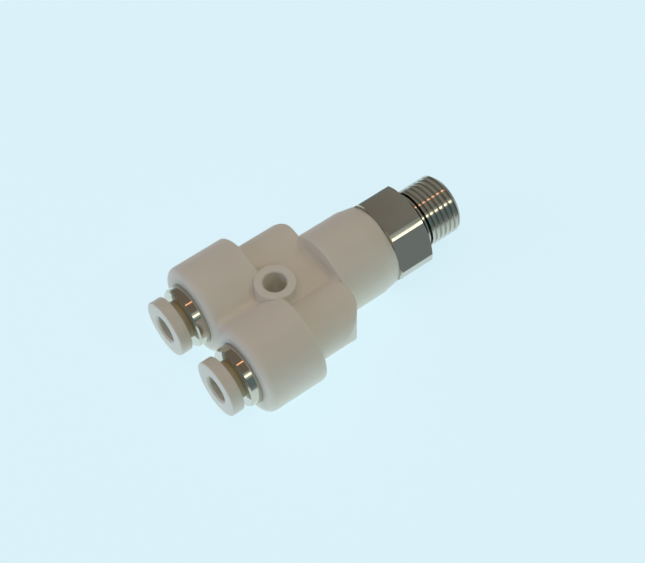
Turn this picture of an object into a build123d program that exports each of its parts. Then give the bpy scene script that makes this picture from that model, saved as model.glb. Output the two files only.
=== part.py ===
"""Push-in branch Y fitting: one male pipe stud and two tube ports in a moulded resin body.

Millimetres. +X runs along the stud towards its thread, +Z along the mounting hole, and +Y across
the two ports. The origin is the centre of the hexagon's seat face, where the male thread starts.
Pieces made of turned or ring-shaped stock are drawn as a half section and revolved about X.
"""

from build123d import *
import os

# ---------------------------------------------------------------- male stud, brass
thread_diameter = 9.728  # 1/8 pipe thread, major
thread_pitch = 0.907
thread_depth = 0.581
thread_land = 0.12  # flat on every crest and root
thread_first_groove = 2.154  # seat face to the middle of the first full groove
thread_reach = 7.4  # seat face to the end of the thread
thread_end_chamfer = 0.6
collar_length = 1.2  # plain collar between the seat face and the undercut
undercut_width = 0.4
undercut_depth = 0.65
flow_bore_diameter = 4.2
hex_across_flats = 13.0
hex_corner_diameter = 14.2  # corners turned down to this size
hex_length = 6.25
hex_chamfer = 0.35  # at the seat face
hex_rear_chamfer = 0.1
hex_turn = 3.1  # degrees from a flat that faces straight up, towards -Y
spigot_diameter = 10.2
spigot_length = 8.6
spigot_chamfer = 0.5

# ---------------------------------------------------------------- swivel joint and its seal
swivel_end_play = 0.05
swivel_clearance = 0.05
snap_distance = 2.0  # hexagon's rear face to the near side of the snap groove
snap_groove_width = 1.2
snap_groove_depth = 0.5
snap_bead_width = 1.0
o_ring_cord = 1.35
o_ring_land = 1.0  # spigot's end to the O-ring groove
o_ring_groove_width = 1.7
o_ring_clearance = 0.03

# ---------------------------------------------------------------- resin body
stud_barrel_diameter = 14.12
stud_barrel_length = 9.9
stud_barrel_rim_diameter = 13.2
stud_barrel_taper_length = 2.6
stud_barrel_rear_round = 0.3
stud_barrel_blend = 0.9  # hollow round where the barrel steps down to the lobes
lobe_diameter = 9.7
lobe_length = 9.0
lobe_corner_radius = 3.8  # seen from above
web_thickness = 7.4
web_fillet = 1.2
port_barrel_diameter = 14.44
port_barrel_overlap = 1.38  # how far the two port barrels run into each other
port_barrel_length = 10.0
port_front_round = 1.2
port_rear_round = 0.5
port_valley_round = 1.0  # between the two port barrels
boss_diameter = 6.28
boss_height = 12.2  # over both faces
boss_blend = 1.0  # hollow round at its foot
boss_setback = 0.75  # hole's centre in front of the port barrels' rear faces
mounting_hole_diameter = 3.62
mounting_hole_chamfer = 0.15
channel_diameter = 3.2
gallery_setback = 2.8  # cross gallery's centre behind the lobes' front faces

# ---------------------------------------------------------------- tube port, two alike
tube_diameter = 4.0
tube_clearance = 0.1
tube_seat_depth = 4.0
tube_seat_clearance = 0.05
seal_pocket_diameter = 7.6
seal_pocket_length = 1.9
collet_chamber_clearance = 0.2

ring_diameter = 9.7
ring_stand_out = 1.8
ring_seat_depth = 2.2
ring_chamfer = 0.25
ring_lip_thickness = 1.0
ring_cavity_diameter = 7.0
ring_cone_length = 1.0
ring_cone_diameter = 8.4

button_flange_diameter = 9.0
button_flange_thickness = 1.95
button_rim_round = 0.2
button_neck_diameter = 6.1
button_slide_clearance = 0.04
button_travel = 1.0
button_stop_gap = 0.1  # what is left between flange and guide ring at full travel
button_entry_chamfer = 0.3
button_shoulder_diameter = 6.76
button_shoulder_length = 0.6
button_shoulder_gap = 0.05
button_skirt_diameter = 5.9
button_skirt_length = 0.7

collet_bore_diameter = 4.8
collet_clearance = 0.1  # to the guide ring's cavity and cone
collet_axial_play = 0.15
collet_length = 2.7
collet_slit_width = 0.6
collet_slit_count = 4
collet_root_length = 0.6  # unslit length that joins the fingers

grip_tooth_count = 12
grip_thickness = 0.3
grip_lean = 0.25  # how far the teeth lean towards the seal
grip_tip_diameter = 3.9
grip_rim_diameter = 6.0
grip_rim_width = 0.5
grip_slit_width = 0.35
grip_seat_gap = 0.02
grip_setback = 1.35  # collet's front face to the grip ring's groove

seal_lip_diameter = 3.9
seal_end_gap = 0.05
seal_radial_gap = 0.02
seal_lip_width = 0.7

# ---------------------------------------------------------------- stations across and along
port_pitch = port_barrel_diameter - port_barrel_overlap
hex_rear = -hex_length
barrel_rim = hex_rear - swivel_end_play
barrel_rear = barrel_rim - stud_barrel_length
lobe_rear = barrel_rear - lobe_length
port_face = lobe_rear - port_barrel_length
hole_x = lobe_rear + boss_setback
gallery_x = barrel_rear - gallery_setback

ring_front = port_face - ring_stand_out
ring_rear = port_face + ring_seat_depth
lip_rear = ring_front + ring_lip_thickness
cone_start = ring_rear - ring_cone_length
flange_rear = ring_front - button_travel - button_stop_gap
button_face = flange_rear - button_flange_thickness
shoulder_front = lip_rear + button_shoulder_gap
shoulder_rear = shoulder_front + button_shoulder_length
skirt_rear = shoulder_rear + button_skirt_length
collet_rear = skirt_rear + collet_length
chamber_rear = collet_rear + button_travel + collet_chamber_clearance
seal_front = chamber_rear + seal_end_gap
tube_stop = chamber_rear + seal_pocket_length + tube_seat_depth

spigot_end = hex_rear - spigot_length
bore_end = spigot_end - swivel_clearance
snap_front = hex_rear - snap_distance
snap_rear = snap_front - snap_groove_width
groove_rear = spigot_end + o_ring_land
groove_front = groove_rear + o_ring_groove_width

# ---------------------------------------------------------------- radii
thread_r = thread_diameter / 2
thread_root_r = thread_r - thread_depth
flow_r = flow_bore_diameter / 2
spigot_r = spigot_diameter / 2
stud_barrel_r = stud_barrel_diameter / 2
stud_bore_r = spigot_r + swivel_clearance
snap_root_r = spigot_r - snap_groove_depth
snap_bead_r = snap_root_r + swivel_clearance
o_ring_outer_r = stud_bore_r - o_ring_clearance
o_ring_inner_r = o_ring_outer_r - o_ring_cord
bore_r = tube_diameter / 2 + tube_clearance
tube_seat_r = tube_diameter / 2 + tube_seat_clearance
neck_r = button_neck_diameter / 2
ring_r = ring_diameter / 2
cavity_r = ring_cavity_diameter / 2
cone_r = ring_cone_diameter / 2
collet_bore_r = collet_bore_diameter / 2
collet_r = cavity_r - collet_clearance
collet_head_r = cone_r - collet_clearance
seal_r = seal_pocket_diameter / 2

os.makedirs("parts", exist_ok=True)


def save(piece, name):
    """Label a finished piece and write its STEP file."""
    piece.part.label = name
    export_step(piece.part, f"parts/{name}.step")


# ================================================================ resin body
# Block that joins ports and stud: two round lobes in line with the ports, and a flat web between.
with BuildPart() as block:
    with BuildSketch(Plane.YZ.offset(lobe_rear)):
        with Locations((-port_pitch / 2, 0), (port_pitch / 2, 0)):
            Circle(lobe_diameter / 2)
        Rectangle(port_pitch, web_thickness)
    extrude(amount=lobe_length)
    web_creases = block.edges().filter_by(Axis.X).filter_by(lambda edge: abs(edge.center().Z) > 1)
    fillet(web_creases, web_fillet)

with BuildPart() as lobes:
    add(block.part)
    lobe_span = port_pitch + lobe_diameter
    with BuildSketch(Plane.XY.offset(-lobe_diameter)) as plan:
        with Locations(((lobe_rear + barrel_rear) / 2, 0)):
            outline = Rectangle(lobe_length, lobe_span)
        fillet(plan.vertices().group_by(Axis.X)[-1], lobe_corner_radius)
    extrude(amount=2 * lobe_diameter, mode=Mode.INTERSECT)

# Hollow round where the stud barrel's rear face meets the block, drawn on a plate wider than the
# barrel so that it runs all the way round, then cut back to the barrel's own outline.
with BuildPart() as step_blend:
    with BuildSketch(Plane.YZ.offset(barrel_rear)):
        Rectangle(2 * lobe_span, 2 * stud_barrel_diameter)
    extrude(amount=stud_barrel_blend)
    add(block.part)
    block_foot = step_blend.edges().filter_by(
        lambda edge: abs(edge.center().X - barrel_rear) < 0.01
        and abs(edge.center().Y) < lobe_span / 2
        and abs(edge.center().Z) < lobe_diameter / 2 + 0.01
        and edge.bounding_box().size.X < 0.01
    )
    fillet(block_foot, stud_barrel_blend)
    with BuildSketch(Plane.YZ.offset(barrel_rear - 2 * stud_barrel_blend)):
        Circle(stud_barrel_r - stud_barrel_rear_round)
    extrude(amount=3 * stud_barrel_blend, mode=Mode.INTERSECT)

# The two port barrels, with rounded front and rear edges and a soft valley between them.
with BuildPart() as port_barrels:
    for side in (1, -1):
        lateral = side * port_pitch / 2
        port_section = Plane(origin=(0, lateral, 0), x_dir=(1, 0, 0), z_dir=(0, -1, 0))
        port_axis = Axis((0, lateral, 0), (1, 0, 0))
        # Port barrel with rounded front and rear edges.
        with BuildSketch(port_section) as barrel_half:
            with BuildLine():
                Polyline(
                    (port_face, 0),
                    (port_face, port_barrel_diameter / 2),
                    (lobe_rear, port_barrel_diameter / 2),
                    (lobe_rear, 0),
                    close=True,
                )
            make_face()
            # A sketch's own vertices lie in its plane, so its second axis is Y here.
            fillet(barrel_half.vertices().group_by(Axis.Y)[-1].sort_by(Axis.X)[0], port_front_round)
            fillet(barrel_half.vertices().group_by(Axis.Y)[-1].sort_by(Axis.X)[-1], port_rear_round)
        revolve(axis=port_axis)
    valley = port_barrels.edges().filter_by(
        lambda edge: abs(edge.center().Y) < 0.01 and edge.bounding_box().size.Y < 0.01
    )
    fillet(valley, port_valley_round)

with BuildPart() as body:
    # Stud barrel, which tapers a little towards its rim.
    with BuildSketch(Plane.XZ) as stud_barrel_half:
        with BuildLine():
            Polyline(
                (barrel_rear, 0),
                (barrel_rear, stud_barrel_r),
                (barrel_rim - stud_barrel_taper_length, stud_barrel_r),
                (barrel_rim, stud_barrel_rim_diameter / 2),
                (barrel_rim, 0),
                close=True,
            )
        make_face()
        rear_corner = stud_barrel_half.vertices().group_by(Axis.Y)[-1].sort_by(Axis.X)[0]
        fillet(rear_corner, stud_barrel_rear_round)
    revolve(axis=Axis.X)
    add(lobes.part)
    add(step_blend.part)
    add(port_barrels.part)

    # Boss round the mounting hole, its foot flared into the web and the valley.
    with BuildSketch(Plane.XZ) as boss_half:
        foot = web_thickness / 2 - 0.05
        with BuildLine():
            Polyline(
                (hole_x, -boss_height / 2),
                (hole_x + boss_diameter / 2, -boss_height / 2),
                (hole_x + boss_diameter / 2, -foot),
                (hole_x + boss_diameter / 2 + boss_blend + 0.05, -foot),
                (hole_x + boss_diameter / 2 + boss_blend + 0.05, foot),
                (hole_x + boss_diameter / 2, foot),
                (hole_x + boss_diameter / 2, boss_height / 2),
                (hole_x, boss_height / 2),
                close=True,
            )
        make_face()
        inner_corners = boss_half.vertices().filter_by(
            lambda vertex: abs(vertex.X - hole_x - boss_diameter / 2) < 0.01
            and abs(abs(vertex.Y) - foot) < 0.01
        )
        fillet(inner_corners, boss_blend)
    revolve(axis=Axis((hole_x, 0, 0), (0, 0, 1)))

    for side in (1, -1):
        lateral = side * port_pitch / 2
        port_section = Plane(origin=(0, lateral, 0), x_dir=(1, 0, 0), z_dir=(0, -1, 0))
        port_axis = Axis((0, lateral, 0), (1, 0, 0))
        # Stepped port bore: ring seat, collet chamber, seal pocket, tube seat and channel.
        with BuildSketch(port_section):
            with BuildLine():
                Polyline(
                    (port_face - ring_stand_out, 0),
                    (port_face - ring_stand_out, ring_r),
                    (ring_rear, ring_r),
                    (ring_rear, cone_r),
                    (chamber_rear, cone_r),
                    (chamber_rear, seal_r),
                    (chamber_rear + seal_pocket_length, seal_r),
                    (chamber_rear + seal_pocket_length, tube_seat_r),
                    (tube_stop, tube_seat_r),
                    (tube_stop, channel_diameter / 2),
                    (gallery_x, channel_diameter / 2),
                    (gallery_x, 0),
                    close=True,
                )
            make_face()
        revolve(axis=port_axis, mode=Mode.SUBTRACT)

    # Cross gallery between the two channels.
    with BuildSketch(Plane.XZ.offset(-port_pitch / 2 - channel_diameter / 2)):
        with Locations((gallery_x, 0)):
            Circle(channel_diameter / 2)
    extrude(amount=port_pitch + channel_diameter, mode=Mode.SUBTRACT)

    # Bore for the stud's spigot, with the snap bead, and the passage on to the gallery.
    with BuildSketch(Plane.XZ):
        bead_play = (snap_groove_width - snap_bead_width) / 2
        with BuildLine():
            Polyline(
                (barrel_rim, 0),
                (barrel_rim, stud_bore_r),
                (snap_front - bead_play, stud_bore_r),
                (snap_front - bead_play, snap_bead_r),
                (snap_rear + bead_play, snap_bead_r),
                (snap_rear + bead_play, stud_bore_r),
                (bore_end, stud_bore_r),
                (bore_end, flow_r),
                (gallery_x, flow_r),
                (gallery_x, 0),
                close=True,
            )
        make_face()
    revolve(axis=Axis.X, mode=Mode.SUBTRACT)

    # Mounting hole, broken at both faces.
    with Locations((hole_x, 0, 0)):
        Hole(mounting_hole_diameter / 2, depth=boss_height)
    rims = body.edges().filter_by(GeomType.CIRCLE).filter_by(
        lambda edge: abs(edge.radius - mounting_hole_diameter / 2) < 0.01
        and abs(abs(edge.center().Z) - boss_height / 2) < 0.01
    )
    chamfer(rims, mounting_hole_chamfer)
save(body, "body")

# ================================================================ male stud
with BuildPart() as stud:
    # Hexagon with its corners turned down and both ends broken.
    with BuildSketch(Plane.YZ.offset(hex_rear)):
        RegularPolygon(hex_across_flats / 2, 6, major_radius=False, rotation=hex_turn)
    extrude(amount=hex_length)
    with BuildSketch(Plane.XZ):
        with BuildLine():
            Polyline(
                (hex_rear, 0),
                (hex_rear, hex_corner_diameter / 2 - 2 * hex_rear_chamfer),
                (hex_rear + hex_rear_chamfer, hex_corner_diameter / 2),
                (-hex_chamfer, hex_corner_diameter / 2),
                (0, hex_corner_diameter / 2 - 2 * hex_chamfer),
                (0, 0),
                close=True,
            )
        make_face()
    revolve(axis=Axis.X, mode=Mode.INTERSECT)

    # Collar, undercut and thread blank at the thread's major diameter.
    with BuildSketch(Plane.XZ):
        undercut_end = collar_length + undercut_width
        with BuildLine():
            Polyline(
                (0, 0),
                (0, thread_r),
                (collar_length, thread_r),
                (collar_length, thread_r - undercut_depth),
                (undercut_end, thread_r - undercut_depth),
                (undercut_end, thread_r),
                (thread_reach - thread_end_chamfer, thread_r),
                (thread_reach, thread_r - thread_end_chamfer),
                (thread_reach, 0),
                close=True,
            )
        make_face()
    revolve(axis=Axis.X)

    # Thread as plain rings, one groove to each turn.
    groove_count = int((thread_reach - thread_first_groove) / thread_pitch) + 1
    with BuildSketch(Plane.XZ):
        for turn in range(groove_count):
            middle = thread_first_groove + turn * thread_pitch
            half_mouth = (thread_pitch - thread_land) / 2
            with BuildLine():
                Polyline(
                    (middle - half_mouth, thread_r + thread_land),
                    (middle - half_mouth, thread_r),
                    (middle - thread_land / 2, thread_root_r),
                    (middle + thread_land / 2, thread_root_r),
                    (middle + half_mouth, thread_r),
                    (middle + half_mouth, thread_r + thread_land),
                    close=True,
                )
            make_face()
    revolve(axis=Axis.X, mode=Mode.SUBTRACT)

    # Spigot that the resin body snaps onto, with its O-ring groove.
    with BuildSketch(Plane.XZ):
        with BuildLine():
            Polyline(
                (hex_rear, 0),
                (hex_rear, spigot_r),
                (snap_front, spigot_r),
                (snap_front, snap_root_r),
                (snap_rear, snap_root_r),
                (snap_rear, spigot_r),
                (groove_front, spigot_r),
                (groove_front, o_ring_inner_r),
                (groove_rear, o_ring_inner_r),
                (groove_rear, spigot_r),
                (spigot_end + spigot_chamfer, spigot_r),
                (spigot_end, spigot_r - spigot_chamfer),
                (spigot_end, 0),
                close=True,
            )
        make_face()
    revolve(axis=Axis.X)

    # Flow bore from end to end.
    with BuildSketch(Plane.YZ.offset(spigot_end)):
        Circle(flow_r)
    extrude(amount=thread_reach - spigot_end, mode=Mode.SUBTRACT)
save(stud, "stud")

with BuildPart() as stud_o_ring:
    with BuildSketch(Plane.XZ):
        with Locations(((groove_front + groove_rear) / 2, o_ring_inner_r + o_ring_cord / 2)):
            Circle(o_ring_cord / 2)
    revolve(axis=Axis.X)
save(stud_o_ring, "stud_o_ring")

# ================================================================ what each tube port holds
for number, side in ((1, 1), (2, -1)):
    lateral = side * port_pitch / 2
    port_section = Plane(origin=(0, lateral, 0), x_dir=(1, 0, 0), z_dir=(0, -1, 0))
    port_axis = Axis((0, lateral, 0), (1, 0, 0))

    # Release button: flange, neck through the guide ring, retaining shoulder and skirt.
    with BuildPart() as release_button:
        with BuildSketch(port_section) as button_half:
            with BuildLine():
                Polyline(
                    (button_face, bore_r + button_entry_chamfer),
                    (button_face, button_flange_diameter / 2),
                    (flange_rear, button_flange_diameter / 2),
                    (flange_rear, neck_r),
                    (shoulder_front, neck_r),
                    (shoulder_front, button_shoulder_diameter / 2),
                    (shoulder_rear, button_shoulder_diameter / 2),
                    (shoulder_rear, button_skirt_diameter / 2),
                    (skirt_rear, button_skirt_diameter / 2),
                    (skirt_rear, bore_r),
                    (button_face + button_entry_chamfer, bore_r),
                    close=True,
                )
            make_face()
            fillet(button_half.vertices().group_by(Axis.Y)[-1], button_rim_round)
        revolve(axis=port_axis)
    save(release_button, f"release_button_{number}")

    # Guide ring: pressed into the body, lip in front, cone for the collet behind.
    with BuildPart() as guide_ring:
        lip_r = neck_r + button_slide_clearance
        with BuildSketch(port_section):
            with BuildLine():
                Polyline(
                    (ring_front, lip_r),
                    (ring_front, ring_r - ring_chamfer),
                    (ring_front + ring_chamfer, ring_r),
                    (ring_rear, ring_r),
                    (ring_rear, cone_r),
                    (cone_start, cavity_r),
                    (lip_rear, cavity_r),
                    (lip_rear, lip_r),
                    close=True,
                )
            make_face()
        revolve(axis=port_axis)
    save(guide_ring, f"guide_ring_{number}")

    # Collet: a slit sleeve whose head draws onto the ring's cone and grips the tube.
    with BuildPart() as collet:
        head_start = cone_start + collet_axial_play
        grip_front = skirt_rear + grip_setback
        grip_seat_r = grip_rim_diameter / 2 + grip_seat_gap
        grip_space = grip_thickness + grip_lean
        with BuildSketch(port_section):
            with BuildLine():
                Polyline(
                    (skirt_rear, collet_bore_r),
                    (skirt_rear, collet_r),
                    (head_start, collet_r),
                    (head_start + ring_cone_length, collet_head_r),
                    (collet_rear, collet_head_r),
                    (collet_rear, collet_bore_r),
                    (grip_front + grip_space, collet_bore_r),
                    (grip_front + grip_space, grip_seat_r),
                    (grip_front, grip_seat_r),
                    (grip_front, collet_bore_r),
                    close=True,
                )
            make_face()
        revolve(axis=port_axis)
        slit_length = collet_rear - skirt_rear - collet_root_length
        with BuildSketch(Plane.YZ.offset(skirt_rear + collet_root_length)):
            with Locations((lateral, 0)):
                with PolarLocations(0, collet_slit_count // 2, angular_range=180):
                    Rectangle(2 * cone_r, collet_slit_width)
        extrude(amount=slit_length, mode=Mode.SUBTRACT)
    save(collet, f"collet_{number}")

    # Grip ring: a thin toothed washer, its teeth leaning away from the mouth.
    with BuildPart() as grip_ring:
        rim_r = grip_rim_diameter / 2
        root_r = rim_r - grip_rim_width
        tip_r = grip_tip_diameter / 2
        with BuildSketch(port_section):
            with BuildLine():
                Polyline(
                    (grip_front, rim_r),
                    (grip_front, root_r),
                    (grip_front + grip_lean, tip_r),
                    (grip_front + grip_lean + grip_thickness, tip_r),
                    (grip_front + grip_thickness, root_r),
                    (grip_front + grip_thickness, rim_r),
                    close=True,
                )
            make_face()
        revolve(axis=port_axis)
        with BuildSketch(Plane.YZ.offset(grip_front)):
            with Locations((lateral, 0)):
                with PolarLocations(root_r / 2, grip_tooth_count):
                    Rectangle(root_r, grip_slit_width)
        extrude(amount=grip_space, mode=Mode.SUBTRACT)
    save(grip_ring, f"grip_ring_{number}")

    # Tube seal: a rubber ring whose lip closes on the tube.
    with BuildPart() as tube_seal:
        seal_outer_r = seal_r - seal_radial_gap
        seal_length = seal_pocket_length - 2 * seal_end_gap
        seal_middle = seal_front + seal_length / 2
        with BuildSketch(port_section):
            with BuildLine():
                Polyline(
                    (seal_front, bore_r + seal_lip_width),
                    (seal_front, seal_outer_r),
                    (seal_front + seal_length, seal_outer_r),
                    (seal_front + seal_length, bore_r + seal_lip_width),
                )
                ThreePointArc(
                    (seal_front + seal_length, bore_r + seal_lip_width),
                    (seal_middle, seal_lip_diameter / 2),
                    (seal_front, bore_r + seal_lip_width),
                )
            make_face()
        revolve(axis=port_axis)
    save(tube_seal, f"tube_seal_{number}")
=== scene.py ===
"""Push-in branch Y fitting, one male pipe stud and two tube ports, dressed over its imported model.

Lengths are metres in the part's own frame: +X towards the thread, +Y across the two ports and +Z
up the mounting hole, with the origin at the centre of the hexagon's seat face.
"""

import math

import bmesh
import bpy
from mathutils import Matrix, Vector


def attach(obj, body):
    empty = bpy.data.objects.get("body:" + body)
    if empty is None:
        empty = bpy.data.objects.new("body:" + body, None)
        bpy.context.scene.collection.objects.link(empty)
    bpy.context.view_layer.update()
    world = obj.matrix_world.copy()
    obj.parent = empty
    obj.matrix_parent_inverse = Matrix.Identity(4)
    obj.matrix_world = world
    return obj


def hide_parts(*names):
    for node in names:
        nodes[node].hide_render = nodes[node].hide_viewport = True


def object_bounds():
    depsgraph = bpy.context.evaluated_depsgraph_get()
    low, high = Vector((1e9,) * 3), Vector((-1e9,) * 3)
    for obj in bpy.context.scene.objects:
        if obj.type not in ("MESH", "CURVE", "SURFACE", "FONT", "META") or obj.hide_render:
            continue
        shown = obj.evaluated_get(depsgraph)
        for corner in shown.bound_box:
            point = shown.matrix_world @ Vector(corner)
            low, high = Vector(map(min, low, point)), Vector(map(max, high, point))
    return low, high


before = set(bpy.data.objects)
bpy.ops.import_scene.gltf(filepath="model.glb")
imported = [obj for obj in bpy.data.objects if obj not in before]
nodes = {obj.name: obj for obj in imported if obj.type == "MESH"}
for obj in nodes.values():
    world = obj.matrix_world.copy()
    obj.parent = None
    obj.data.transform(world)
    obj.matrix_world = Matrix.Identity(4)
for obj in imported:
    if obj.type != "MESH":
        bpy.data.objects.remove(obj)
cad_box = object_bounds()

# ------------------------------------------------------------------------------------------------
# Body: one injection moulding in ivory PBT. It holds the stud barrel, the block with the mounting
# hole and the two port barrels. The mould was spark eroded, which leaves a fine even grain, and
# the resin lets a little light in, so that thin rims glow against a bright table.

mm = 0.001


def linear(code):
    """A colour written as sRGB hex, as the linear red, green, blue and alpha of a socket."""
    parts = [int(code[i : i + 2], 16) / 255 for i in (0, 2, 4)]
    return [c / 12.92 if c <= 0.04045 else ((c + 0.055) / 1.055) ** 2.4 for c in parts] + [1.0]


def add(tree, kind, sockets=None, **settings):
    """Adds one node. A socket takes a value, an output, or a node, which means its first output."""
    node = tree.nodes.new(kind)
    for name, value in settings.items():
        setattr(node, name, value)
    for socket, value in (sockets or {}).items():
        if isinstance(value, bpy.types.Node):
            value = next(output for output in value.outputs if output.enabled)
        if isinstance(value, bpy.types.NodeSocket):
            tree.links.new(value, node.inputs[socket])
        else:
            node.inputs[socket].default_value = value
    return node


def moulded_pbt():
    """PBT as moulded: opaque satin ivory, with slow clouding from the flow and a fine grain.

    A mould's edges are never sharp, so each edge catches the light as if it were slightly rounded.
    """
    flow_size, grain_size, grain_depth, edge_round = 9 * mm, 0.16 * mm, 0.006 * mm, 0.3 * mm
    material = bpy.data.materials.new("moulded_pbt")
    material.use_nodes = True
    tree = material.node_tree
    tree.nodes.clear()
    place = add(tree, "ShaderNodeTexCoord").outputs["Object"]
    flow = add(tree, "ShaderNodeTexNoise", {"Vector": place, "Scale": 1 / flow_size, "Detail": 3.0})
    grain = add(
        tree, "ShaderNodeTexNoise", {"Vector": place, "Scale": 1 / grain_size, "Detail": 2.0}
    )
    tone = add(
        tree,
        "ShaderNodeMix",
        {"Factor": flow, "A": linear("E2D8C8"), "B": linear("EBE2D3")},
        data_type="RGBA",
    )
    gloss = add(
        tree,
        "ShaderNodeMapRange",
        {"Value": grain, "To Min": 0.42, "To Max": 0.54},
    )
    softened = add(tree, "ShaderNodeBevel", {"Radius": edge_round}, samples=6)
    relief = add(
        tree,
        "ShaderNodeBump",
        {"Height": grain, "Distance": grain_depth, "Strength": 0.5, "Normal": softened},
    )
    shader = add(
        tree,
        "ShaderNodeBsdfPrincipled",
        {
            "Base Color": tone,
            "Roughness": gloss,
            "Normal": relief,
            "IOR": 1.55,
            "Specular IOR Level": 0.4,
            "Subsurface Weight": 0.3,
            "Subsurface Radius": (1.6 * mm, 1.5 * mm, 1.4 * mm),
            "Subsurface Scale": 1.0,
        },
    )
    add(tree, "ShaderNodeOutputMaterial", {"Surface": shader})
    return material


nodes["body"].material_slots[0].material = moulded_pbt()

# ------------------------------------------------------------------------------------------------
# Male stud: turned from hexagon bar in brass and nickel plated. It has a collar, a relief groove
# and a 28 threads per inch pipe thread, and its spigot snaps into the body so that it can swivel.
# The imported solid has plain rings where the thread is, so the stud is dressed anew from its seat
# face to its end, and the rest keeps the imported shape.

thread_r = 4.864 * mm
thread_root_r = 4.50 * mm
thread_pitch = 0.907 * mm
first_crest = 1.81 * mm
thread_start = -0.03 * mm  # the dressed skin starts just inside the hexagon's seat face
thread_end = 7.4 * mm
end_chamfer = 0.6 * mm
collar_end = 1.34 * mm
stud_bore_r = 2.1 * mm
stud_cut = 0.02 * mm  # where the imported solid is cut, just past the seat face
columns_round, rows_per_pitch = 145, 32


def nickel_plated_brass():
    """Bright nickel over turned brass: warm grey mirror with fine tool lines round the axis.

    Painted shade darkens the score line, the relief groove and the thread's run-in beside them,
    which draws them as dark lines on the mirror.
    """
    tool_line, stain_size = 0.09 * mm, 2.5 * mm
    # Painted shade: the tone darkens where the surface sinks below the crest, from 0.4 to 1.8 mm
    # along the stud.
    shade_full_r, shade_free_r = 4.55 * mm, 4.80 * mm
    shade_start, shade_fades, shade_end, shade_cover = 0.4 * mm, 1.6 * mm, 1.8 * mm, 0.6
    material = bpy.data.materials.new("nickel_plated_brass")
    material.use_nodes = True
    tree = material.node_tree
    tree.nodes.clear()
    place = add(tree, "ShaderNodeTexCoord").outputs["Object"]
    stretched = add(tree, "ShaderNodeMapping", {"Vector": place, "Scale": (1.0, 0.04, 0.04)})
    lines = add(
        tree, "ShaderNodeTexNoise", {"Vector": stretched, "Scale": 1 / tool_line, "Detail": 2.0}
    )
    stain = add(
        tree, "ShaderNodeTexNoise", {"Vector": place, "Scale": 1 / stain_size, "Detail": 4.0}
    )
    tone = add(
        tree,
        "ShaderNodeMix",
        {"Factor": stain, "A": linear("C4BEB1"), "B": linear("D0CBC0")},
        data_type="RGBA",
    )
    parts = add(tree, "ShaderNodeSeparateXYZ", {0: place})
    flat = add(tree, "ShaderNodeCombineXYZ", {"Y": parts.outputs["Y"], "Z": parts.outputs["Z"]})
    radius = add(tree, "ShaderNodeVectorMath", {0: flat}, operation="LENGTH").outputs["Value"]
    sunk = add(
        tree,
        "ShaderNodeMapRange",
        {"Value": radius, "From Min": shade_free_r, "From Max": shade_full_r},
    )
    left = add(
        tree,
        "ShaderNodeMapRange",
        {
            "Value": parts,
            "From Min": shade_fades,
            "From Max": shade_end,
            "To Min": shade_cover,
            "To Max": 0.0,
        },
    )
    begun = add(tree, "ShaderNodeMath", {0: parts, 1: shade_start}, operation="GREATER_THAN")
    groove_painted_shade = add(tree, "ShaderNodeMath", {0: sunk, 1: left}, operation="MULTIPLY")
    groove_painted_shade = add(tree, "ShaderNodeMath", {0: groove_painted_shade, 1: begun}, operation="MULTIPLY")
    # Mix in the painted shade, near black, in the grooves.
    tone = add(
        tree,
        "ShaderNodeMix",
        {"Factor": groove_painted_shade, "A": tone.outputs[2], "B": linear("2E2A24")},
        data_type="RGBA",
    )
    gloss = add(
        tree, "ShaderNodeMapRange", {"Value": stain, "To Min": 0.05, "To Max": 0.09}
    )
    relief = add(
        tree,
        "ShaderNodeBump",
        {"Height": lines, "Distance": 0.001 * mm, "Strength": 0.15},
    )
    shader = add(
        tree,
        "ShaderNodeBsdfPrincipled",
        {
            "Base Color": tone,
            "Metallic": 1.0,
            "Roughness": gloss,
            "Normal": relief,
        },
    )
    add(tree, "ShaderNodeOutputMaterial", {"Surface": shader})
    return material


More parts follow.
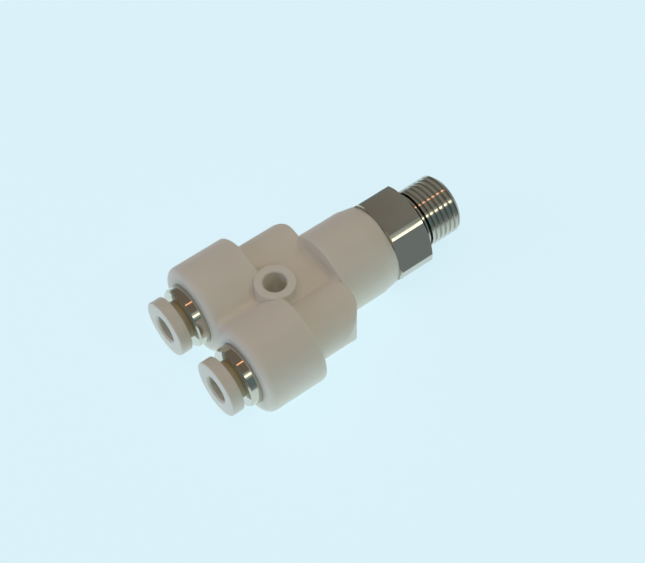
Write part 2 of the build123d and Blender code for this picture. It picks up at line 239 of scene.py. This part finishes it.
def pipe_thread_tree():
    """Geometry Nodes: a sheared grid wound about X, so that its rows rise one pitch in a turn."""
    crest_level, sway_phase, weld = -0.1, 1.05, 0.001 * mm
    tree = bpy.data.node_groups.new("pipe_thread", "GeometryNodeTree")
    for name, kind in (
        ("Crest Radius", "NodeSocketFloat"),
        ("Root Radius", "NodeSocketFloat"),
        ("Pitch", "NodeSocketFloat"),
        ("Start", "NodeSocketFloat"),
        ("End", "NodeSocketFloat"),
        ("End Chamfer", "NodeSocketFloat"),
        ("First Crest", "NodeSocketFloat"),
        ("Columns", "NodeSocketInt"),
        ("Rows", "NodeSocketInt"),
        ("Material", "NodeSocketMaterial"),
    ):
        tree.interface.new_socket(name, in_out="INPUT", socket_type=kind)
    tree.interface.new_socket("Geometry", in_out="OUTPUT", socket_type="NodeSocketGeometry")
    given = add(tree, "NodeGroupInput").outputs
    sums = "ShaderNodeMath"
    length = add(tree, sums, {0: given["End"], 1: given["Start"]}, operation="SUBTRACT")
    height = add(tree, sums, {0: length, 1: given["Pitch"]}, operation="ADD")
    grid = add(
        tree,
        "GeometryNodeMeshGrid",
        {
            "Size X": 1.0,
            "Size Y": height,
            "Vertices X": given["Columns"],
            "Vertices Y": given["Rows"],
        },
    )
    flat = add(tree, "ShaderNodeSeparateXYZ", {0: add(tree, "GeometryNodeInputPosition")})
    turn = flat.outputs["X"]
    middle = add(tree, sums, {0: length, 1: 0.5, 2: given["Start"]}, operation="MULTIPLY_ADD")
    lead = add(tree, sums, {0: turn, 1: given["Pitch"], 2: middle}, operation="MULTIPLY_ADD")
    raw = add(tree, sums, {0: flat.outputs["Y"], 1: lead}, operation="ADD")
    x = add(tree, "ShaderNodeClamp", {0: raw, 1: given["Start"], 2: given["End"]})
    # A cosine stands for the 55 degree form. Above the crest level it is cut off flat.
    past = add(tree, sums, {0: x, 1: given["First Crest"]}, operation="SUBTRACT")
    steps = add(tree, sums, {0: past, 1: given["Pitch"]}, operation="DIVIDE")
    phase = add(tree, sums, {0: steps, 1: turn}, operation="SUBTRACT")
    cycle = add(tree, sums, {0: phase, 1: math.tau}, operation="MULTIPLY")
    wave = add(tree, sums, {0: cycle}, operation="COSINE")
    skin = add(
        tree,
        "ShaderNodeMapRange",
        {0: wave, 1: -1.0, 2: crest_level, 3: given["Root Radius"], 4: given["Crest Radius"]},
    )
    # The collar in front of the thread is plain, as far as the relief groove.
    plain = add(tree, sums, {0: x, 1: collar_end}, operation="LESS_THAN")
    skin = add(
        tree,
        "ShaderNodeMix",
        {"Factor": plain, "A": skin, "B": given["Crest Radius"]},
        data_type="FLOAT",
    )
    # Each cut caps the radius near its own station. The last two wander a little round the stud,
    # as the tool ran out along the helix.
    sway = add(tree, sums, {0: turn, 1: math.tau, 2: sway_phase}, operation="MULTIPLY_ADD")
    sway = add(tree, sums, {0: sway}, operation="SINE")
    for station, wander, half_width, slope_width, floor_r in (
        (0.06 * mm, 0.0, 0.10 * mm, 0.07 * mm, 4.66 * mm),  # neck at the hexagon
        (0.765 * mm, 0.07 * mm, 0.05 * mm, 0.03 * mm, 4.50 * mm),  # score line
        (1.36 * mm, 0.04 * mm, 0.15 * mm, 0.06 * mm, 4.16 * mm),  # relief groove
    ):
        centre = add(tree, sums, {0: sway, 1: wander, 2: station}, operation="MULTIPLY_ADD")
        apart = add(tree, sums, {0: x, 1: centre}, operation="SUBTRACT")
        apart = add(tree, sums, {0: apart}, operation="ABSOLUTE")
        cap = add(
            tree,
            "ShaderNodeMapRange",
            {
                "Value": apart,
                "From Min": half_width,
                "From Max": half_width + slope_width,
                "To Min": floor_r,
                "To Max": given["Crest Radius"],
            },
        )
        skin = add(tree, sums, {0: skin, 1: cap}, operation="MINIMUM")
    # End chamfer: the radius falls as fast as the last stretch runs.
    left = add(tree, sums, {0: given["End"], 1: x}, operation="SUBTRACT")
    short = add(tree, sums, {0: left, 1: given["End Chamfer"]}, operation="SUBTRACT")
    taper = add(tree, sums, {0: short, 1: given["Crest Radius"]}, operation="ADD")
    skin = add(tree, sums, {0: skin, 1: taper}, operation="MINIMUM")
    angle = add(tree, sums, {0: turn, 1: math.tau, 2: math.pi}, operation="MULTIPLY_ADD")
    across = add(tree, sums, {0: angle}, operation="COSINE")
    rise = add(tree, sums, {0: angle}, operation="SINE")
    y = add(tree, sums, {0: skin, 1: across}, operation="MULTIPLY")
    z = add(tree, sums, {0: skin, 1: rise}, operation="MULTIPLY")
    point = add(tree, "ShaderNodeCombineXYZ", {"X": x, "Y": y, "Z": z})
    wound = add(tree, "GeometryNodeSetPosition", {"Geometry": grid, "Position": point})
    closed = add(tree, "GeometryNodeMergeByDistance", {"Geometry": wound, "Distance": weld})
    real = add(tree, "GeometryNodeRealizeInstances", {"Geometry": closed})
    painted = add(
        tree, "GeometryNodeSetMaterial", {"Geometry": real, "Material": given["Material"]}
    )
    add(tree, "NodeGroupOutput", {0: painted})
    return tree


nickel = nickel_plated_brass()
thread_maker = bpy.data.objects.new("thread_maker", bpy.data.meshes.new("thread_maker"))
bpy.context.scene.collection.objects.link(thread_maker)
winding = thread_maker.modifiers.new("winding", "NODES")
winding.node_group = pipe_thread_tree()
for socket in winding.node_group.interface.items_tree:
    if socket.in_out == "INPUT":
        winding[socket.identifier] = {
            "Crest Radius": thread_r,
            "Root Radius": thread_root_r,
            "Pitch": thread_pitch,
            "Start": thread_start,
            "End": thread_end,
            "End Chamfer": end_chamfer,
            "First Crest": first_crest,
            "Columns": columns_round,
            "Rows": int(rows_per_pitch * ((thread_end - thread_start) / thread_pitch + 1)),
            "Material": nickel,
        }[socket.name]
thread_maker.update_tag()
bpy.context.view_layer.update()
thread_skin = bpy.data.meshes.new_from_object(
    thread_maker.evaluated_get(bpy.context.evaluated_depsgraph_get())
)
thread_maker.modifiers.remove(winding)
bpy.data.objects.remove(thread_maker)

# The skin's two open ends are joined through the flow bore, which makes it a closed tube.
rim_weld, solid_weld = 0.002 * mm, 0.0005 * mm
sharp_edge = math.radians(20)
tube = bmesh.new()
tube.from_mesh(thread_skin)
rim = [e for e in tube.edges if e.is_boundary]
end_rim = [e for e in rim if all(v.co.x > thread_end / 2 for v in e.verts)]
start_rim = [e for e in rim if all(v.co.x < thread_end / 2 for v in e.verts)]
for edges, station in ((end_rim, thread_end), (start_rim, thread_start)):
    grown = bmesh.ops.extrude_edge_only(tube, edges=edges)["geom"]
    for v in (g for g in grown if isinstance(g, bmesh.types.BMVert)):
        v.co *= stud_bore_r / math.hypot(v.co.y, v.co.z)
        v.co.x = station
    if station == thread_end:
        inner = [g for g in grown if isinstance(g, bmesh.types.BMEdge) and g.is_boundary]
        grown = bmesh.ops.extrude_edge_only(tube, edges=inner)["geom"]
        for v in (g for g in grown if isinstance(g, bmesh.types.BMVert)):
            v.co.x = thread_start
bmesh.ops.remove_doubles(tube, verts=tube.verts, dist=rim_weld)
bmesh.ops.recalc_face_normals(tube, faces=tube.faces)

# Hexagon and spigot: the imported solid, cut just past the seat face and closed there.
hexagon = bmesh.new()
hexagon.from_mesh(nodes["stud"].data)
bmesh.ops.remove_doubles(hexagon, verts=hexagon.verts, dist=solid_weld)
cut = bmesh.ops.bisect_plane(
    hexagon,
    geom=hexagon.verts[:] + hexagon.edges[:] + hexagon.faces[:],
    plane_co=(stud_cut, 0, 0),
    plane_no=(1, 0, 0),
    clear_outer=True,
)
bmesh.ops.triangle_fill(
    hexagon,
    edges=[g for g in cut["geom_cut"] if isinstance(g, bmesh.types.BMEdge)],
    use_beauty=True,
)
bmesh.ops.recalc_face_normals(hexagon, faces=hexagon.faces)
hexagon_mesh = bpy.data.meshes.new("hexagon")
hexagon.to_mesh(hexagon_mesh)
tube.from_mesh(hexagon_mesh)
stud_mesh = bpy.data.meshes.new("turned_stud")
tube.to_mesh(stud_mesh)
tube.free()
hexagon.free()
stud_mesh.materials.clear()
stud_mesh.materials.append(nickel)
for polygon in stud_mesh.polygons:
    polygon.material_index = 0
    polygon.use_smooth = True
stud_mesh.set_sharp_from_angle(angle=sharp_edge)
turned_stud = bpy.data.objects.new("turned_stud", stud_mesh)
bpy.context.scene.collection.objects.link(turned_stud)
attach(turned_stud, "stud")
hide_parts("stud")

# ------------------------------------------------------------------------------------------------
# Rubber: the O-ring on the spigot and the lip seal round each tube, moulded in black nitrile.


def nitrile_rubber():
    """Moulded nitrile: matt black with a faint bloom."""
    bloom_size = 0.4 * mm
    material = bpy.data.materials.new("nitrile_rubber")
    material.use_nodes = True
    tree = material.node_tree
    tree.nodes.clear()
    place = add(tree, "ShaderNodeTexCoord").outputs["Object"]
    bloom = add(
        tree, "ShaderNodeTexNoise", {"Vector": place, "Scale": 1 / bloom_size, "Detail": 4.0}
    )
    tone = add(
        tree,
        "ShaderNodeMix",
        {"Factor": bloom, "A": linear("1C1C1D"), "B": linear("2B2B2C")},
        data_type="RGBA",
    )
    gloss = add(
        tree, "ShaderNodeMapRange", {"Value": bloom, "To Min": 0.5, "To Max": 0.7}
    )
    shader = add(
        tree,
        "ShaderNodeBsdfPrincipled",
        {"Base Color": tone, "Roughness": gloss, "IOR": 1.52},
    )
    add(tree, "ShaderNodeOutputMaterial", {"Surface": shader})
    return material


rubber = nitrile_rubber()
for name in ("stud_o_ring", "tube_seal_1", "tube_seal_2"):
    nodes[name].material_slots[0].material = rubber

# ------------------------------------------------------------------------------------------------
# Grip rings: toothed washers stamped from stainless spring strip, which bite on the tube.


def stainless_strip():
    """Rolled stainless steel: cold grey with the rolling direction's fine lines."""
    line_size = 0.06 * mm
    material = bpy.data.materials.new("stainless_strip")
    material.use_nodes = True
    tree = material.node_tree
    tree.nodes.clear()
    place = add(tree, "ShaderNodeTexCoord").outputs["Object"]
    rolled = add(tree, "ShaderNodeMapping", {"Vector": place, "Scale": (1.0, 1.0, 0.05)})
    lines = add(
        tree, "ShaderNodeTexNoise", {"Vector": rolled, "Scale": 1 / line_size, "Detail": 2.0}
    )
    gloss = add(
        tree, "ShaderNodeMapRange", {"Value": lines, "To Min": 0.22, "To Max": 0.36}
    )
    shader = add(
        tree,
        "ShaderNodeBsdfPrincipled",
        {"Base Color": linear("B9BABB"), "Metallic": 1.0, "Roughness": gloss},
    )
    add(tree, "ShaderNodeOutputMaterial", {"Surface": shader})
    return material


stainless = stainless_strip()
for name in ("grip_ring_1", "grip_ring_2"):
    nodes[name].material_slots[0].material = stainless

# ------------------------------------------------------------------------------------------------
# Guide rings: turned brass sleeves, nickel plated and polished, pressed into the port barrels.


def polished_nickel():
    """Nickel over polished brass: a warm mirror, with faint marks round the ring."""
    line_size, smear_size = 0.12 * mm, 1.8 * mm
    material = bpy.data.materials.new("polished_nickel")
    material.use_nodes = True
    tree = material.node_tree
    tree.nodes.clear()
    place = add(tree, "ShaderNodeTexCoord").outputs["Object"]
    stretched = add(tree, "ShaderNodeMapping", {"Vector": place, "Scale": (1.0, 0.03, 0.03)})
    lines = add(
        tree, "ShaderNodeTexNoise", {"Vector": stretched, "Scale": 1 / line_size, "Detail": 2.0}
    )
    smear = add(
        tree, "ShaderNodeTexNoise", {"Vector": place, "Scale": 1 / smear_size, "Detail": 3.0}
    )
    tone = add(
        tree,
        "ShaderNodeMix",
        {"Factor": smear, "A": linear("C6BEAD"), "B": linear("D3CCBE")},
        data_type="RGBA",
    )
    gloss = add(
        tree, "ShaderNodeMapRange", {"Value": smear, "To Min": 0.05, "To Max": 0.09}
    )
    relief = add(
        tree,
        "ShaderNodeBump",
        {"Height": lines, "Distance": 0.001 * mm, "Strength": 0.3},
    )
    shader = add(
        tree,
        "ShaderNodeBsdfPrincipled",
        {
            "Base Color": tone,
            "Metallic": 1.0,
            "Roughness": gloss,
            "Normal": relief,
        },
    )
    add(tree, "ShaderNodeOutputMaterial", {"Surface": shader})
    return material


bright_ring = polished_nickel()
for name in ("guide_ring_1", "guide_ring_2"):
    nodes[name].material_slots[0].material = bright_ring

# ------------------------------------------------------------------------------------------------
# Release buttons and collets: moulded acetal. The button is pressed by hand to free the tube.


def moulded_acetal():
    """Acetal as moulded: waxy off-white, smoother than the body and slightly translucent.

    Behind the flange, on the neck, painted shade gives it a darker, yellower tone.
    """
    cloud_size, grain_size, flange_rear = 3 * mm, 0.10 * mm, -38.1 * mm
    material = bpy.data.materials.new("moulded_acetal")
    material.use_nodes = True
    tree = material.node_tree
    tree.nodes.clear()
    place = add(tree, "ShaderNodeTexCoord").outputs["Object"]
    cloud = add(
        tree, "ShaderNodeTexNoise", {"Vector": place, "Scale": 1 / cloud_size, "Detail": 3.0}
    )
    grain = add(
        tree, "ShaderNodeTexNoise", {"Vector": place, "Scale": 1 / grain_size, "Detail": 2.0}
    )
    tone = add(
        tree,
        "ShaderNodeMix",
        {"Factor": cloud, "A": linear("D9D0C0"), "B": linear("E1D8CA")},
        data_type="RGBA",
    )
    along = add(tree, "ShaderNodeSeparateXYZ", {0: place})
    # Painted shade: the neck behind the flange is mixed towards a darker, yellower tone.
    neck_painted_shade = add(
        tree,
        "ShaderNodeMapRange",
        {"Value": along, "From Min": flange_rear - 0.1 * mm, "From Max": flange_rear + 0.1 * mm},
    )
    tone = add(
        tree,
        "ShaderNodeMix",
        {"Factor": neck_painted_shade, "A": tone.outputs[2], "B": linear("CBBD9A")},
        data_type="RGBA",
    )
    gloss = add(
        tree, "ShaderNodeMapRange", {"Value": grain, "To Min": 0.34, "To Max": 0.46}
    )
    relief = add(
        tree,
        "ShaderNodeBump",
        {"Height": grain, "Distance": 0.003 * mm, "Strength": 0.4},
    )
    shader = add(
        tree,
        "ShaderNodeBsdfPrincipled",
        {
            "Base Color": tone,
            "Roughness": gloss,
            "Normal": relief,
            "IOR": 1.48,
            "Subsurface Weight": 0.2,
            "Subsurface Radius": (0.8 * mm, 0.6 * mm, 0.5 * mm),
            "Subsurface Scale": 1.0,
        },
    )
    add(tree, "ShaderNodeOutputMaterial", {"Surface": shader})
    return material


acetal = moulded_acetal()
for name in ("release_button_1", "release_button_2", "collet_1", "collet_2"):
    nodes[name].material_slots[0].material = acetal

# ------------------------------------------------------------------------------------------------
# Studio: the part lies on a pale lit table in a dim room, under a soft overhead light, a warm
# key light and a side window. Camera rays see the pale backdrop, and the metal mirrors the room,
# two long lamps and the lit table close by. The table keeps a faint shadow of the part.

backdrop = linear("DCF5FE")
horizon, warm_ceiling, cool_ceiling = linear("6C7F85"), linear("777067"), linear("979C9A")
halo_light = linear("E6F2EA")
lamp_slope = (0.0, -0.703, 0.711)  # the long lamp's direction, seen along X
table_z = cad_box[0].z
room = bpy.data.worlds.new("room")
bpy.context.scene.world = room
room.use_nodes = True
tree = room.node_tree
tree.nodes.clear()
sight = add(tree, "ShaderNodeTexCoord").outputs["Generated"]
height = add(tree, "ShaderNodeVectorMath", {0: sight, 1: (0.0, 0.6, 1.0)}, operation="DOT_PRODUCT")
overhead = add(
    tree,
    "ShaderNodeMapRange",
    {"Value": height.outputs["Value"], "From Min": -0.05, "From Max": 0.75},
    interpolation_type="SMOOTHSTEP",
)
ceiling = add(
    tree,
    "ShaderNodeMapRange",
    {"Value": add(tree, "ShaderNodeSeparateXYZ", {0: sight}), "From Min": 0.36, "From Max": 0.44},
)
ceiling = add(
    tree,
    "ShaderNodeMix",
    {"Factor": ceiling, "A": warm_ceiling, "B": cool_ceiling},
    data_type="RGBA",
)
dim = add(
    tree,
    "ShaderNodeMix",
    {"Factor": overhead, "A": horizon, "B": ceiling},
    data_type="RGBA",
)
# The long lamp's diffuser glows softly round it.
narrowed = add(tree, "ShaderNodeVectorMath", {0: sight, 1: (0.35, 1.0, 1.0)}, operation="MULTIPLY")
narrowed = add(tree, "ShaderNodeVectorMath", {0: narrowed}, operation="NORMALIZE")
beside = add(
    tree, "ShaderNodeVectorMath", {0: narrowed, 1: lamp_slope}, operation="DOT_PRODUCT"
)
halo = add(
    tree,
    "ShaderNodeMapRange",
    {"Value": beside.outputs["Value"], "From Min": 0.964, "From Max": 1.0, "To Max": 0.7},
    interpolation_type="SMOOTHSTEP",
)
dim = add(
    tree,
    "ShaderNodeMix",
    {"Factor": halo, "A": dim, "B": halo_light},
    data_type="RGBA",
)
ray = add(tree, "ShaderNodeLightPath")
seen = add(
    tree,
    "ShaderNodeMix",
    {"Factor": ray.outputs["Is Camera Ray"], "A": dim, "B": backdrop},
    data_type="RGBA",
)
glow = add(tree, "ShaderNodeBackground", {"Color": seen, "Strength": 1.0})
add(tree, "ShaderNodeOutputWorld", {"Surface": glow})

table_r = 3.0
table_sheet = bmesh.new()
bmesh.ops.create_circle(table_sheet, cap_ends=True, radius=table_r, segments=96)
for v in table_sheet.verts:
    v.co += Vector((-0.016, 0, table_z))
table_mesh = bpy.data.meshes.new("table_top")
table_sheet.to_mesh(table_mesh)
table_sheet.free()
table_top = bpy.data.objects.new("table_top", table_mesh)
bpy.context.scene.collection.objects.link(table_top)

# Acrylic sheet lit from below: brightest round the part, and evenly pale to the camera.
lit_centre_x, lit_r, lit_strength = -0.028, 0.03, 1.15
spread_r, spread_strength = 0.10, 0.25
mirrored_r, mirrored_strength, mirrored_rest = 0.070, 1.0, 0.19
seen_strength = 0.87
lit_acrylic = bpy.data.materials.new("lit_acrylic")
lit_acrylic.use_nodes = True
tree = lit_acrylic.node_tree
tree.nodes.clear()
place = add(tree, "ShaderNodeTexCoord").outputs["Object"]
centred = add(
    tree, "ShaderNodeMapping", {"Vector": place, "Location": (-lit_centre_x, 0.0, -table_z)}
)
away = add(tree, "ShaderNodeVectorMath", {0: centred}, operation="LENGTH").outputs["Value"]
spread = add(
    tree,
    "ShaderNodeMapRange",
    {
        "Value": away,
        "From Min": lit_r,
        "From Max": spread_r,
        "To Min": lit_strength,
        "To Max": spread_strength,
    },
    interpolation_type="SMOOTHSTEP",
)
mirrored_edge = add(
    tree,
    "ShaderNodeMapRange",
    {
        "Value": away,
        "From Min": lit_r,
        "From Max": mirrored_r,
        "To Min": mirrored_strength,
        "To Max": mirrored_rest,
    },
    interpolation_type="SMOOTHSTEP",
)
ray = add(tree, "ShaderNodeLightPath")
edge = add(
    tree,
    "ShaderNodeMix",
    {"Factor": ray.outputs["Is Glossy Ray"], "A": spread, "B": mirrored_edge},
    data_type="FLOAT",
)
direct = add(
    tree,
    "ShaderNodeMath",
    {0: ray.outputs["Is Camera Ray"], 1: ray.outputs["Is Transmission Ray"]},
    operation="MAXIMUM",
)
strength = add(
    tree,
    "ShaderNodeMix",
    {"Factor": direct, "A": edge, "B": seen_strength},
    data_type="FLOAT",
)
lamp_light = add(tree, "ShaderNodeEmission", {"Color": backdrop, "Strength": strength})
sheet_colour = add(tree, "ShaderNodeBsdfDiffuse", {"Color": (0.17, 0.19, 0.2, 1.0)})
both = add(tree, "ShaderNodeAddShader", {0: lamp_light, 1: sheet_colour})
add(tree, "ShaderNodeOutputMaterial", {"Surface": both})
table_mesh.materials.append(lit_acrylic)

# Two long lamps are seen only in the metal; the others only light. A light's radiance is its
# power over pi and its area, so the long ones stay near white where they mirror.
aim = Vector((-0.016, 0, 0))
for name, toward, distance, sides, colour, power, mirrored in (
    ("soft_overhead", (-0.1, 0.1, 1.0), 0.7, (0.6, 0.6), "FFF1EA", 0.97, False),
    ("soft_key", (0.343, -0.660, 0.669), 0.8, (0.12, 0.12), "FFEFC8", 0.34, False),
    ("window_side", (-1.0, 0.35, 0.35), 0.7, (0.5, 0.5), "C8D8FF", 1.10, False),
    ("long_lamp", (0.343, -0.669, 0.660), 0.8, (0.24, 0.09), "FFFBDC", 0.135, True),
    ("amber_tube", (0.343, 0.057, 0.938), 0.8, (0.24, 0.06), "FFB88A", 0.08, True),
):
    light = bpy.data.lights.new(name, "AREA")
    light.shape = "RECTANGLE"
    light.size, light.size_y = sides
    light.energy = power
    light.color = linear(colour)[:3]
    lamp = bpy.data.objects.new(name, light)
    bpy.context.scene.collection.objects.link(lamp)
    direction = Vector(toward).normalized()
    along = (Vector((1, 0, 0)) - direction * direction.x).normalized()
    turned = Matrix((along, direction.cross(along), direction)).transposed().to_4x4()
    lamp.matrix_world = Matrix.Translation(aim + direction * distance) @ turned
    lamp.visible_camera = False
    lamp.visible_glossy = mirrored
    lamp.visible_diffuse = not mirrored

camera_place = (-0.1015136, -0.1181348, 0.2066837)
azimuth, elevation, roll = math.radians(-35.932), math.radians(54.953), math.radians(-1.390)
back = Vector(
    (
        math.sin(azimuth) * math.cos(elevation),
        -math.cos(azimuth) * math.cos(elevation),
        math.sin(elevation),
    )
)
level = Vector((math.cos(azimuth), math.sin(azimuth), 0))
rise = back.cross(level)
right = math.cos(roll) * level + math.sin(roll) * rise
up = -math.sin(roll) * level + math.cos(roll) * rise
camera_data = bpy.data.cameras.new("camera")
camera_data.sensor_width = 36
camera_data.lens = 94.013
camera_data.clip_start, camera_data.clip_end = 0.01, 10
camera = bpy.data.objects.new("camera", camera_data)
bpy.context.scene.collection.objects.link(camera)
camera.matrix_world = Matrix(
    [
        [right[i], up[i], back[i], camera_place[i]]
        for i in range(3)
    ]
    + [[0, 0, 0, 1]]
)
bpy.context.scene.camera = camera
bpy.context.scene.view_settings.view_transform = "Standard"
